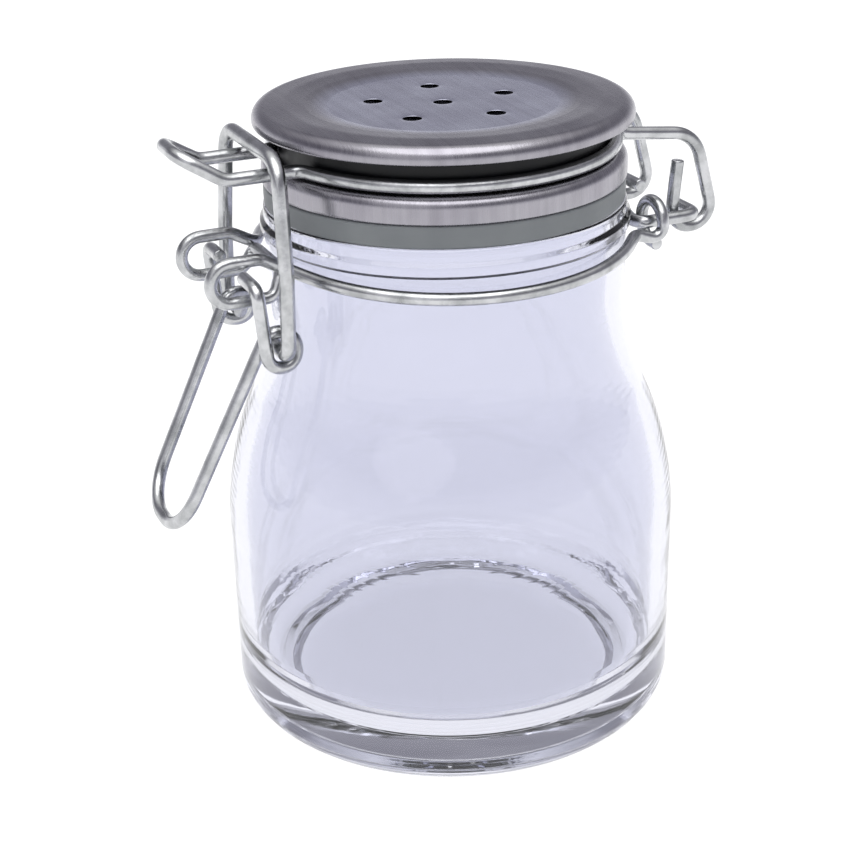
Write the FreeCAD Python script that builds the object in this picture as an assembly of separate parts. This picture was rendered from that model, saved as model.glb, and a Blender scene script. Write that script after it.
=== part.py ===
import FreeCAD, Part
import math
import os

# Small clip-top shaker jar. Millimetres, +Z up, origin at the centre of the resting face.
# The clamp is at -Y, the hinge at +Y, and the jar is symmetric about the plane X = 0.

# glass jar
body_dia = 68.0           # widest part of the body
glass_height = 78.9       # resting face to the rim the gasket sits on
neck_dia = 52.4           # outside of the neck
shoulder_height = 35.7    # from the straight body wall to the neck
neck_height = 13.9        # straight neck, up to the rim
wall = 2.6                # glass thickness at the side
base_thick = 4.6          # glass thickness at the base
heel_radius = 4.0         # outer edge of the base
punt_depth = 1.0          # hollow under the base
floor_bend = 9.0          # inside, where the wall meets the floor
bead_stand = 0.55         # retaining bead above the neck wire
bead_height = 2.3
bead_drop = 1.75          # rim down to the top of the bead

# lid
gasket_height = 3.2
gasket_inset = 0.15       # gasket edge inside the neck outline
gasket_lip = 4.65         # width of the gasket section
ring_height = 3.7         # lower steel ring
ring_bend = 1.5           # rolled upper edge of the ring
groove_height = 4.6       # gap the lid wire lies in, ring top to rim underside
rim_height = 2.5          # rolled edge of the cap
rim_stand = 0.9           # rim outside the neck outline
rim_bend = 1.75           # rolled upper edge of the cap
sheet = 0.6               # steel sheet of cap and ring
core_inset = 2.7          # groove floor inside the neck outline
core_wall = 3.1           # radial thickness of the moulded core
spigot_wall = 0.95        # core skirt inside the gasket
recess_gap = 0.8          # between the cap's slope and the core bore
recess_slope = 3.2        # width of the slope round it
recess_depth = 0.45
dome_rise = 0.15
hole_dia = 2.7
hole_circle = 10.0        # radius of the ring of five holes
hole_count = 5
hole_phase = -31.0        # degrees from the clamp side

# wires
neck_wire_dia = 1.8
hinge_wire_dia = 1.9
lid_wire_dia = 1.9
link_wire_dia = 2.1
lever_wire_dia = 1.9
seat_gap = 0.02           # wire to the surface it lies on
free_gap = 0.30           # between pieces that move past each other

# clamp, as distances from the neck and the rim
neck_wire_drop = 5.6      # rim down to the neck wire
neck_wire_sag = 0.9       # how much lower it lies at the two sides
eye_half = 6.7            # eyes of the neck wire, each side of the middle
eye_reach = 11.6          # neck outline to the far end of the eye
eye_rise = 2.35           # upper strand above the neck wire
eye_open = 5.7            # between upper and lower strand
lever_reach = 6.4         # neck outline to the lever pivot
lever_drop = 6.1          # rim down to the lever pivot
crank_in = 3.2            # lever pivot to link pivot, towards the jar
crank_down = 9.4
bar_reach = 2.5           # neck outline to the top bar of the link
bar_gap = 1.0             # free height between nose strands and top bar
link_top_half = 11.0
link_straight = 11.6      # upright run of each link leg above its pivot
link_bend = 4.3           # upper corners of the link
nose_half = 6.0           # strands of the lid wire, each side of the middle
nose_reach = 8.3          # neck outline to the bend of the nose
nose_run = 5.7            # upturned tip beyond the bend
nose_rise = 3.55
nose_tip_half = 4.4
handle_stand = 11.3       # tip of the handle outside the body wall
handle_drop = 42.0        # rim down to the tip of the handle
handle_half = 7.4
handle_bend = 6.8

# hinge
pin_reach = 9.3           # neck outline to the hinge pins
pin_drop = 5.1            # rim down to the hinge pins
pin_half_inner = 5.0      # free end of each pin
hook_half = 9.2           # hooks of the lid wire
hook_inner = 3.3          # pin to rod, towards the jar
hook_outer = 4.3          # pin to the foot of the leg
hook_below = 2.4
hook_bend = 3.0
rod_top = 7.9             # pin to the free end of the rod
rod_lean = 1.05
leg_top = 11.6            # pin to the upper corner of the leg
leg_lean = 3.8
leg_bend = 5.2            # upper corner of the leg
loop_radius = 3.1         # loops of the neck wire round the hinge bars
loop_reach = 1.75         # neck outline to the plane of the loops

# places that follow from the sizes
body_r = body_dia / 2
neck_r = neck_dia / 2
rim_z = glass_height
wall_top_z = glass_height - neck_height - shoulder_height
neck_z = glass_height - neck_height
gasket_top_z = rim_z + gasket_height
ring_top_z = gasket_top_z + ring_height
cap_under_z = ring_top_z + groove_height
cap_top_z = cap_under_z + rim_height
rim_r = neck_r + rim_stand
core_r = neck_r - core_inset
recess_radius = core_r - core_wall - recess_gap - recess_slope   # flat middle of the cap
gasket_r = neck_r - gasket_inset
gasket_bore_r = gasket_r - gasket_lip
lid_wire_z = ring_top_z + lid_wire_dia / 2 + (groove_height - lid_wire_dia) * 0.08
lid_wire_r = core_r + lid_wire_dia / 2 + seat_gap
neck_wire_z = rim_z - neck_wire_drop
neck_wire_r = neck_r + neck_wire_dia / 2 + 3 * seat_gap
hinge_z = rim_z - pin_drop
hinge_y = neck_r + pin_reach
lever_y = -(neck_r + lever_reach)
lever_z = rim_z - lever_drop
link_y = lever_y + crank_in
link_z = lever_z - crank_down
bar_y = -(neck_r + bar_reach)
bar_z = lid_wire_z + (lid_wire_dia + link_wire_dia) / 2 + bar_gap
handle_half_top = eye_half + (neck_wire_dia + lever_wire_dia) / 2 + free_gap
arm_half = handle_half_top + lever_wire_dia + 0.2
leg_half = arm_half + (lever_wire_dia + link_wire_dia) / 2 + free_gap
coil_r = (lever_wire_dia + link_wire_dia) / 2 + free_gap + 0.05
bar_half = hook_half + (lid_wire_dia + hinge_wire_dia) / 2 + free_gap
tip_y = -(body_r + handle_stand)
tip_z = rim_z - handle_drop


def vec(x, y, z):
    return FreeCAD.Vector(x, y, z)


def mirrored(points):
    """The same bends on the other side of the plane X = 0, in reverse order."""
    return [(vec(-p.x, p.y, p.z), bend) for p, bend in reversed(points)]


def around(centre, radius, along, across, start, turn, count):
    """Corners of the polygon whose rounded corners make an arc of a circle."""
    step = turn / count
    reach = radius / math.cos(math.radians(step / 2))
    corners = []
    for i in range(count):
        a = math.radians(start + (i + 0.5) * step)
        corners.append((centre + along * (reach * math.cos(a)) + across * (reach * math.sin(a)), radius))
    return corners


def bent_wire(points, diameter):
    """Round wire through corner points, each rounded to its own bend radius."""
    edges = []
    last = points[0][0]
    for i in range(1, len(points) - 1):
        corner, bend = points[i]
        d_in = (corner - points[i - 1][0]).normalize()
        d_out = (points[i + 1][0] - corner).normalize()
        turn = d_in.getAngle(d_out)
        run = bend * math.tan(turn / 2)
        a = corner - d_in * run
        b = corner + d_out * run
        inward = (d_out - d_in).normalize()
        middle = corner + inward * (bend / math.cos(turn / 2) - bend)
        if (a - last).Length > 1e-4:
            edges.append(Part.makeLine(last, a))
        edges.append(Part.Arc(a, middle, b).toShape())
        last = b
    edges.append(Part.makeLine(last, points[-1][0]))
    path = Part.Wire(edges)
    start_dir = (points[1][0] - points[0][0]).normalize()
    profile = Part.Wire([Part.makeCircle(diameter / 2, points[0][0], start_dir)])
    return path.makePipeShell([profile], True, False)


def turned(points):
    """Solid of revolution about Z from an outline of (radius, height) points.

    A point with a third value is the middle of an arc between its neighbours.
    """
    edges = []
    i = 0
    n = len(points)
    while i < n:
        here = points[i]
        nxt = points[(i + 1) % n]
        a = vec(here[0], 0, here[1])
        if len(nxt) == 3:
            end = points[(i + 2) % n]
            edges.append(Part.Arc(a, vec(nxt[0], 0, nxt[1]), vec(end[0], 0, end[1])).toShape())
            i += 2
        else:
            edges.append(Part.makeLine(a, vec(nxt[0], 0, nxt[1])))
            i += 1
    face = Part.Face(Part.Wire(edges))
    return face.revolve(vec(0, 0, 0), vec(0, 0, 1), 360)


def s_curve(r0, z0, r1, z1):
    """Two tangent arcs from an upright wall at r0 to an upright wall at r1."""
    share = 0.57
    rm = r0 + (r1 - r0) * share
    zm = z0 + (z1 - z0) * share

    def mid(ra, za, rb, zb):
        h = abs(rb - ra)
        v = abs(zb - za)
        radius = (h * h + v * v) / (2 * h)
        half = math.asin(v / radius) / 2
        across = radius * (1 - math.cos(half))
        return across, radius * math.sin(half)

    across, rise = mid(r0, z0, rm, zm)
    sgn = math.copysign(1, r1 - r0)
    first = (r0 + sgn * across, z0 + math.copysign(rise, z1 - z0), "arc")
    across, rise = mid(rm, zm, r1, z1)
    second = (r1 - sgn * across, z1 - math.copysign(rise, z1 - z0), "arc")
    return [(r0, z0), first, (rm, zm), second, (r1, z1)]


def corner_arc(r, z, radius, a0, a1):
    """Start, middle and end of a quarter-round with centre (r, z)."""
    pts = []
    for k, a in enumerate((a0, (a0 + a1) / 2, a1)):
        p = (r + radius * math.cos(math.radians(a)), z + radius * math.sin(math.radians(a)))
        pts.append(p + ("arc",) if k == 1 else p)
    return pts


def make_glass():
    lip = 0.5
    bead_top = rim_z - bead_drop
    bead_low = bead_top - bead_height
    bead_r = neck_r + bead_stand
    inner_r = body_r - wall
    inner_neck = neck_r - wall - 0.2
    outline = [(0, punt_depth), (body_r - heel_radius - 5.0, punt_depth)]
    outline += [(body_r - heel_radius - 3.0, 0)]
    outline += corner_arc(body_r - heel_radius, heel_radius, heel_radius, -90, 0)
    outline += s_curve(body_r, wall_top_z, neck_r, neck_z)
    outline += [(neck_r, bead_low)]
    outline += [(bead_r, bead_low + bead_stand), (bead_r, bead_top - bead_stand), (neck_r, bead_top)]
    outline += corner_arc(neck_r - lip, rim_z - lip, lip, 0, 90)
    outline += corner_arc(inner_neck + lip, rim_z - lip, lip, 90, 180)
    outline += list(reversed(s_curve(inner_r, wall_top_z, inner_neck, neck_z)))
    outline += corner_arc(inner_r - floor_bend, base_thick + floor_bend, floor_bend, 0, -90)
    outline += [(0, base_thick + 0.4)]
    return turned(outline)


def make_gasket():
    edge = 0.4
    low = rim_z
    top = gasket_top_z
    return turned([
        (gasket_bore_r, low),
        (gasket_r - edge, low),
        (gasket_r, low + edge),
        (gasket_r, top - edge),
        (gasket_r - edge, top),
        (gasket_bore_r, top),
    ])


def make_ring():
    """Rolled steel ring with a C section that opens inwards."""
    top = ring_top_z
    low = gasket_top_z
    out_r = neck_r - 0.05
    bend = ring_bend
    inside = bend - sheet
    bore = core_r + seat_gap
    spigot = gasket_bore_r
    outline = [(spigot, low), (out_r - 0.5, low), (out_r, low + 0.5), (out_r, top - bend)]
    outline += corner_arc(out_r - bend, top - bend, bend, 0, 90)[1:]
    outline += [(bore, top), (bore, top - sheet)]
    outline += corner_arc(out_r - bend, top - bend, inside, 90, 0)
    outline += [(out_r - sheet, low + sheet), (spigot, low + sheet)]
    return turned(outline)


def make_core():
    """Moulded annulus that joins ring, gasket and cap and leaves the middle open."""
    floor = gasket_top_z + sheet
    bore = core_r - core_wall
    spigot = gasket_bore_r - seat_gap
    under = cap_top_z - dome_rise - sheet
    flange_r = rim_r - 1.5
    return turned([
        (spigot - spigot_wall, rim_z + 0.3),
        (spigot, rim_z + 0.3),
        (spigot, floor),
        (core_r, floor),
        (core_r, cap_under_z - 0.8),
        (flange_r, cap_under_z + 0.1),
        (flange_r, under - 0.3),
        (flange_r - 0.6, under),
        (bore, under),
        (bore, floor + 2.0),
        (spigot - spigot_wall, floor + 1.0),
    ])


def make_cap():
    """Drawn steel disc: sunk middle with six holes, sloped ring, rolled edge."""
    top = cap_top_z
    edge_bend = rim_bend
    curl = 0.65 * (rim_height - dome_rise - edge_bend)
    ring_z = top - dome_rise
    recess_z = top - recess_depth - dome_rise
    slope_r = recess_radius + recess_slope
    shoulder_r = rim_r - edge_bend
    outline = [(0, recess_z), (recess_radius, recess_z), (slope_r, ring_z)]
    outline += [((slope_r + shoulder_r) / 2, top, "arc"), (shoulder_r, ring_z)]
    outline += corner_arc(shoulder_r, ring_z - edge_bend, edge_bend, 90, 0)[1:]
    outline += corner_arc(rim_r - curl, cap_under_z + curl, curl, 0, -90)
    outline += [(rim_r - 1.4, cap_under_z), (rim_r - 1.4, cap_under_z + 0.45)]
    outline += [(rim_r - sheet, cap_under_z + 0.45), (rim_r - sheet, ring_z - edge_bend)]
    outline += corner_arc(shoulder_r, ring_z - edge_bend, edge_bend - sheet, 0, 90)[1:]
    outline += [(slope_r + 0.15, ring_z - sheet), (recess_radius + 0.15, recess_z - sheet)]
    outline += [(0, recess_z - sheet)]
    cap = turned(outline)
    places = [(0.0, 0.0)]
    for i in range(hole_count):
        a = math.radians(-90.0 + hole_phase + i * 360.0 / hole_count)
        places.append((hole_circle * math.cos(a), hole_circle * math.sin(a)))
    for x, y in places:
        cap = cap.cut(Part.makeCylinder(hole_dia / 2, 4.0, vec(x, y, recess_z - 2.0)))
    return cap


X = vec(1, 0, 0)
Y = vec(0, 1, 0)
Z = vec(0, 0, 1)


def leave_ring(radius, angle, x, z):
    """Where the tangent of a ring at an angle from +Y or -Y meets the plane at x."""
    a = math.radians(angle)
    run = (radius * math.sin(a) - x) / math.cos(a)
    return vec(x, radius * math.cos(a) + run * math.sin(a), z)


def make_lid_wire():
    """One wire: hook, leg, rear strand, groove, nose and the same on the other side."""
    z = lid_wire_z
    rear_angle = 28.0
    front_angle = 20.0
    exit_bend = 2.8
    leg_y = hinge_y + hook_outer - leg_lean
    rear = leave_ring(lid_wire_r, rear_angle, hook_half, z)
    front = leave_ring(lid_wire_r, front_angle, nose_half, z)
    nose_y = -(neck_r + nose_reach)
    half = [
        (vec(hook_half, hinge_y - hook_inner + rod_lean, hinge_z + rod_top), 0),
        (vec(hook_half, hinge_y - hook_inner, hinge_z - hook_below), hook_bend),
        (vec(hook_half, hinge_y + hook_outer, hinge_z - hook_below), hook_bend),
        (vec(hook_half, leg_y, hinge_z + leg_top), leg_bend),
        (rear, exit_bend),
    ]
    turn = -(180.0 - rear_angle - front_angle)
    half += around(vec(0, 0, z), lid_wire_r, X, Y, 90.0 - rear_angle, turn, 2)
    half += [
        (vec(front.x, -front.y, z), 2.4),
        (vec(nose_half, nose_y, z), 3.0),
        (vec(nose_tip_half, nose_y - nose_run, z + nose_rise), 3.2),
    ]
    return bent_wire(half + mirrored(half), lid_wire_dia)


def make_neck_wire():
    """Ring under the bead, with the two lever eyes in front and a loop behind each side."""
    z = neck_wire_z
    rear_angle = 40.0
    front_angle = 24.0
    loop_y = neck_r + loop_reach
    loop_x = bar_half + loop_radius
    inner_x = bar_half - loop_radius
    low = hinge_z - loop_radius
    high = hinge_z + loop_radius
    rear = leave_ring(neck_wire_r, rear_angle, loop_x, z)
    front = leave_ring(neck_wire_r, front_angle, eye_half, z + 0.3)
    eye_end = -(neck_r + eye_reach)
    eye_top = z + eye_rise
    eye_low = eye_top - eye_open
    eye_bend = eye_open / 2
    front_y = -(neck_wire_r + 0.1)
    half = [
        (vec(bar_half + 1.6, loop_y, low), 0),
        (vec(inner_x, loop_y, low), loop_radius),
        (vec(inner_x, loop_y, high), loop_radius),
        (vec(loop_x, loop_y, high), loop_radius),
        (vec(loop_x, loop_y, hinge_z - 1.9), 1.6),
        (rear, 2.4),
    ]
    turn = -(180.0 - rear_angle - front_angle)
    half += around(vec(0, 0, z - neck_wire_sag), neck_wire_r, X, Y, 90.0 - rear_angle, turn, 2)
    half += [
        (vec(front.x, -front.y, front.z), 2.2),
        (vec(eye_half, -(neck_r + 4.3), eye_top), 2.4),
        (vec(eye_half, eye_end, eye_top), eye_bend),
        (vec(eye_half, eye_end, eye_low), eye_bend),
        (vec(eye_half, -(neck_r + 2.6), eye_low), 1.6),
        (vec(eye_half - 0.9, front_y, z), 1.5),
    ]
    return bent_wire(half + mirrored(half), neck_wire_dia)


def make_hinge_wire():
    """Arc behind the neck with two bars that end in inward hinge pins."""
    radius = neck_r + hinge_wire_dia / 2 + seat_gap
    angle = 14.0
    root = leave_ring(radius, angle, bar_half, hinge_z)
    half = [
        (vec(pin_half_inner, hinge_y, hinge_z), 0),
        (vec(bar_half, hinge_y, hinge_z), 1.8),
        (root, 1.8),
    ]
    back = around(vec(0, 0, hinge_z), radius, X, Y, 90.0 - angle, 2 * angle, 1)
    return bent_wire(half + back + mirrored(half), hinge_wire_dia)


def make_link():
    """Frame whose top bar presses on the nose; its ends turn in through the lever coils."""
    share = link_straight / (bar_z - link_z)
    knee_y = link_y + (bar_y - link_y) * share
    half = [
        (vec(handle_half_top - 1.5, link_y, link_z), 0),
        (vec(leg_half, link_y, link_z), 1.7),
        (vec(leg_half, knee_y, link_z + link_straight), 6.0),
        (vec(link_top_half, bar_y, bar_z), link_bend),
    ]
    return bent_wire(half + mirrored(half), link_wire_dia)


def make_lever():
    """Pivot ends in the eyes, arms, a coil round each link end, and the long handle loop."""
    reach = math.hypot(crank_in, crank_down)
    to_link = math.atan2(crank_down, crank_in)
    lean = math.asin(coil_r / reach)
    tip_run = math.hypot(tip_y - link_y, tip_z - link_z)
    to_tip = math.atan2(tip_z - link_z, tip_y - link_y)
    handle_lean = math.asin(coil_r / tip_run)
    # angles in the Y-Z plane from +Y: arm goes down and inwards, handle down and outwards
    arm_dir = -to_link - lean
    handle_dir = to_tip + handle_lean
    start = math.degrees(arm_dir) - 90.0
    end = math.degrees(handle_dir) - 90.0
    turn = (end - start) % 360.0
    corners = around(vec(0, link_y, link_z), coil_r, Y, Z, start, turn, 4)
    count = len(corners)
    coil = []
    for i, (p, bend) in enumerate(corners):
        x = arm_half + (handle_half_top - arm_half) * i / (count - 1)
        coil.append((vec(x, p.y, p.z), bend * 0.96))
    half = [
        (vec(eye_half - 1.6, lever_y, lever_z), 0),
        (vec(arm_half, lever_y, lever_z), 1.6),
    ]
    half += coil
    half += [(vec(handle_half, tip_y, tip_z), handle_bend)]
    return bent_wire(half + mirrored(half), lever_wire_dia)


makers = {
    "glass_jar": make_glass,
    "neck_wire": make_neck_wire,
    "hinge_wire": make_hinge_wire,
    "lid_cap": make_cap,
    "lid_core": make_core,
    "lid_ring": make_ring,
    "gasket": make_gasket,
    "lid_wire": make_lid_wire,
    "link_wire": make_link,
    "lever_wire": make_lever,
}

os.makedirs("parts", exist_ok=True)
for name, maker in makers.items():
    shape = maker()
    if shape.ShapeType != "Solid" and len(shape.Solids) == 1:
        shape = shape.Solids[0]
    box = shape.BoundBox
    print(name, shape.ShapeType, shape.isValid(), round(shape.Volume, 1),
          [round(v, 1) for v in (box.XMin, box.XMax, box.YMin, box.YMax, box.ZMin, box.ZMax)])
    shape.exportStep("parts/" + name + ".step")
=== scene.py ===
import bmesh
import bpy
import math
import numpy as np
from mathutils import Matrix, Vector
from mathutils.geometry import delaunay_2d_cdt


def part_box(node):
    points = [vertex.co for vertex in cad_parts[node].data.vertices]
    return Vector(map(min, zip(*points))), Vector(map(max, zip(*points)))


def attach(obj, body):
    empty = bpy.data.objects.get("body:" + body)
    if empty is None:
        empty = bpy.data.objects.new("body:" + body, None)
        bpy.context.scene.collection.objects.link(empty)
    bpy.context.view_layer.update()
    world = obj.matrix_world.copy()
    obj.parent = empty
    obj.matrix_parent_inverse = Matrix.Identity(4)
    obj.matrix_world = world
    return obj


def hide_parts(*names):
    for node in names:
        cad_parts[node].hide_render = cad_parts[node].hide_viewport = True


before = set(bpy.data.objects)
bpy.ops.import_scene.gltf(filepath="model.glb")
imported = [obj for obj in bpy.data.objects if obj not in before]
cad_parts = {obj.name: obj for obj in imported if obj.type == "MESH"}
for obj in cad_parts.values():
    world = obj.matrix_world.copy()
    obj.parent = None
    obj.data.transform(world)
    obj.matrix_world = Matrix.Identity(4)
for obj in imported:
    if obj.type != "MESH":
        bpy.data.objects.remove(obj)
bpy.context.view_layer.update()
mm = 0.001
print("frame loaded:", len(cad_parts), "nodes")


# meshes

def unit(v):
    return v / np.maximum(np.linalg.norm(v, axis=-1, keepdims=True), 1e-12)


def solidVolume(verts, tris):
    a, b, c = verts[tris[:, 0]], verts[tris[:, 1]], verts[tris[:, 2]]
    return np.einsum("ij,ij->i", a, np.cross(b, c)).sum() / 6


def newPiece(name, verts, faces, uv=None):
    # verts in mm; faces a list of index lists; uv one pair for each face corner
    mesh = bpy.data.meshes.new(name)
    mesh.from_pydata((verts * mm).tolist(), [], faces)
    if uv is not None:
        layer = mesh.uv_layers.new(name="wireMap")
        layer.data.foreach_set("uv", np.asarray(uv, np.float32).ravel())
    mesh.polygons.foreach_set("use_smooth", np.ones(len(mesh.polygons), bool))
    mesh.validate()
    mesh.update()
    piece = bpy.data.objects.new(name, mesh)
    bpy.context.scene.collection.objects.link(piece)
    return piece


def gridFaces(rows, cols, wrapRows):
    # quads between neighbouring rows of a grid whose columns close on themselves
    index = np.arange(rows * cols).reshape(rows, cols)
    nextCol = np.roll(index, -1, axis=1)
    if wrapRows:
        low, high = index, np.roll(index, -1, axis=0)
        lowNext, highNext = nextCol, np.roll(nextCol, -1, axis=0)
    else:
        low, high, lowNext, highNext = index[:-1], index[1:], nextCol[:-1], nextCol[1:]
    return np.stack([low, lowNext, highNext, high], axis=-1).reshape(-1, 4)


def roundedOutline(corners, closed, segments=7, longest=1.3):
    # each (r, z, bend) corner becomes an arc tangent to both of its edges,
    # and the straight runs between the arcs are divided into short ones
    pts = np.array([c[:2] for c in corners], float)
    bends = [c[2] for c in corners]
    n = len(pts)
    chain = []
    for i in range(n):
        if not closed and i in (0, n - 1) or bends[i] == 0:
            chain.append(pts[i][None])
            continue
        into = unit(pts[i] - pts[i - 1])
        out = unit(pts[(i + 1) % n] - pts[i])
        turn = math.acos(np.clip(into @ out, -1, 1))
        run = bends[i] * math.tan(turn / 2)
        inward = unit(out - into * (out @ into))
        centre = pts[i] - into * run + inward * bends[i]
        count = max(segments, int(turn * bends[i] / longest) + 1)
        t = np.linspace(0, turn, count)[:, None]
        chain.append(centre + bends[i] * (into * np.sin(t) - inward * np.cos(t)))
    line = np.concatenate(chain)
    if closed:
        line = np.concatenate([line, line[:1]])
    pieces = []
    for a, b in zip(line[:-1], line[1:]):
        gap = np.linalg.norm(b - a)
        if gap < 1e-5:
            continue
        parts = int(gap / longest) + 1
        t = np.linspace(0, 1, parts + 1)[:-1]
        if gap > 0.5:
            t = np.unique(np.concatenate([t, [0.12 / gap, 1 - 0.12 / gap]]))
        pieces.append(a + (b - a) * t[:, None])
    if not closed:
        pieces.append(line[-1:])
    return np.concatenate(pieces)


def lathePiece(name, outline, columns, shift=None, poles=False):
    # the outline (r, z) turned about Z: x = r cos u, y = r sin u; shift(u, r, z) adds to r
    u = np.linspace(0, 2 * np.pi, columns, endpoint=False)[None, :]
    r = outline[:, 0][:, None] + np.zeros_like(u)
    z = outline[:, 1][:, None] + np.zeros_like(u)
    if shift is not None:
        r = r + shift(u, r, z)
    if poles:
        r, z = r[1:-1], z[1:-1]
    verts = np.stack([r * np.cos(u), r * np.sin(u), z], axis=-1)
    rows = len(verts)
    verts = verts.reshape(-1, 3)
    quads = gridFaces(rows, columns, not poles)
    faces = quads
    tris = np.concatenate([quads[:, [0, 1, 2]], quads[:, [0, 2, 3]]])
    fans = np.zeros((0, 3), int)
    if poles:
        ends = np.array([[0, 0, outline[0, 1]], [0, 0, outline[-1, 1]]])
        first = np.arange(columns)
        last = first + (rows - 1) * columns
        total = len(verts)
        fans = np.concatenate([
            np.stack([np.roll(first, -1), first, np.full(columns, total)], -1),
            np.stack([last, np.roll(last, -1), np.full(columns, total + 1)], -1)])
        verts = np.concatenate([verts, ends])
        tris = np.concatenate([tris, fans])
    if solidVolume(verts, tris) < 0:
        faces, fans = faces[:, ::-1], fans[:, ::-1]
    return newPiece(name, verts, faces.tolist() + fans.tolist())


def bentPath(corners):
    # straight runs joined by an arc of each corner's own bend radius
    pts = np.array([c[:3] for c in corners], float)
    runs = [pts[:1]]
    for i in range(1, len(pts) - 1):
        bend = corners[i][3]
        into = unit(pts[i] - pts[i - 1])
        out = unit(pts[i + 1] - pts[i])
        turn = math.acos(np.clip(into @ out, -1, 1))
        run = bend * math.tan(turn / 2)
        inward = unit(out - into * (out @ into))
        centre = pts[i] - into * run + inward * bend
        t = np.linspace(0, turn, 40)[:, None]
        runs.append(centre + bend * (into * np.sin(t) - inward * np.cos(t)))
    runs.append(pts[-1:])
    path = np.concatenate(runs)
    keep = np.concatenate([[True], np.linalg.norm(np.diff(path, axis=0), axis=1) > 1e-4])
    return path[keep]


def along(path, places):
    s = np.concatenate([[0], np.cumsum(np.linalg.norm(np.diff(path, axis=0), axis=1))])
    return np.stack([np.interp(places, s, path[:, k]) for k in range(3)], axis=-1)


def carriedFrame(path):
    # side vectors that follow the path without twisting, each mirrored twice from the last
    tangent = unit(np.gradient(path, axis=0))
    side = np.zeros_like(path)
    start = np.cross(tangent[0], [0.31, 0.22, 0.92])
    side[0] = start / np.linalg.norm(start)
    for i in range(len(path) - 1):
        v1 = path[i + 1] - path[i]
        c1 = v1 @ v1
        r = side[i] - v1 * (2 / c1) * (v1 @ side[i])
        t = tangent[i] - v1 * (2 / c1) * (v1 @ tangent[i])
        v2 = tangent[i + 1] - t
        c2 = max(v2 @ v2, 1e-15)
        side[i + 1] = r - v2 * (2 / c2) * (v2 @ r)
    return tangent, unit(side), unit(np.cross(tangent, side))


def wirePiece(name, settings):
    # a circle carried along the bent path; where it bends it is squeezed towards the
    # inside of the bend, as a wire is by the former, and its cut ends are chamfered
    radius = settings["diameter"] / 2
    rough = bentPath(settings["corners"])
    length = np.linalg.norm(np.diff(rough, axis=0), axis=1).sum()
    fine = np.arange(0, length, 0.1)
    line = along(rough, fine)
    sigma = settings["easing"] / 0.1
    reach = int(3 * sigma)
    kernel = np.exp(-0.5 * (np.arange(-reach, reach + 1) / sigma) ** 2)
    kernel /= kernel.sum()
    before = line[0] - (line[1] - line[0]) * np.arange(reach, 0, -1)[:, None]
    after = line[-1] + (line[-1] - line[-2]) * np.arange(1, reach + 1)[:, None]
    padded = np.concatenate([before, line, after])
    line = np.stack([np.convolve(padded[:, k], kernel, "valid") for k in range(3)], axis=-1)
    length = np.linalg.norm(np.diff(line, axis=0), axis=1).sum()
    chamfer = [0, 0.07, 0.16, 0.3]
    places = np.concatenate([chamfer, np.arange(0.6, length - 0.6, settings["step"]),
                             length - np.array(chamfer[::-1])])
    path = along(line, places)
    tangent, side, other = carriedFrame(path)
    sides = settings["sides"]
    angle = np.linspace(0, 2 * np.pi, sides, endpoint=False)[None, :, None]
    offset = radius * (side[:, None] * np.cos(angle) + other[:, None] * np.sin(angle))
    curve = np.gradient(tangent, places, axis=0)
    amount = np.clip(np.linalg.norm(curve, axis=1) * 2.6, 0, 1)[:, None, None]
    towards = unit(curve)[:, None]
    across = (offset * towards).sum(-1, keepdims=True) * towards
    offset = offset * (1 + 0.012 * amount) - across * settings["squeeze"] * amount
    ends = np.ones(len(path))
    ends[:3] = [0.8, 0.93, 0.985]
    ends[-3:] = ends[2::-1]
    offset = offset * ends[:, None, None]
    verts = (path[:, None] + offset).reshape(-1, 3)
    rows = len(path)
    quads = gridFaces(rows, sides, False)
    total = len(verts)
    first = np.arange(sides)
    last = first + (rows - 1) * sides
    fans = np.concatenate([
        np.stack([np.roll(first, -1), first, np.full(sides, total)], -1),
        np.stack([last, np.roll(last, -1), np.full(sides, total + 1)], -1)])
    verts = np.concatenate([verts, path[[0, -1]]])
    # the map runs in mm: round the wire in u and along it in v
    girth = 2 * np.pi * radius
    col = np.tile(np.arange(sides), rows - 1)
    row = np.repeat(np.arange(rows - 1), sides)
    uLow, uHigh = col / sides * girth, (col + 1) / sides * girth
    vLow, vHigh = places[row], places[row + 1]
    uv = np.stack([uLow, vLow, uHigh, vLow, uHigh, vHigh, uLow, vHigh], -1).reshape(-1, 2)
    fanUv = np.zeros((len(fans) * 3, 2))
    tris = np.concatenate([quads[:, [0, 1, 2]], quads[:, [0, 2, 3]], fans])
    if solidVolume(verts, tris) < 0:
        quads, fans = quads[:, ::-1], fans[:, ::-1]
        uv = uv.reshape(-1, 4, 2)[:, ::-1].reshape(-1, 2)
    return newPiece(name, verts, quads.tolist() + fans.tolist(), np.concatenate([uv, fanUv]))


def bothSides(half):
    # the same bends on the other side of the plane x = 0
    return half + [(-x, y, z, bend) for x, y, z, bend in reversed(half)]


def ringCorners(radius, z, startDeg, turnDeg, count):
    # corners of the polygon whose rounded corners make an arc of a circle about Z
    step = turnDeg / count
    reach = radius / math.cos(math.radians(step / 2))
    turns = [math.radians(startDeg + (i + 0.5) * step) for i in range(count)]
    return [(reach * math.cos(a), reach * math.sin(a), z, radius) for a in turns]


def leaveRing(radius, deg, x):
    # y where the tangent of the ring, at deg from the Y axis, meets the plane of that x
    a = math.radians(deg)
    run = (radius * math.sin(a) - x) / math.cos(a)
    return radius * math.cos(a) + run * math.sin(a)


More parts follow.
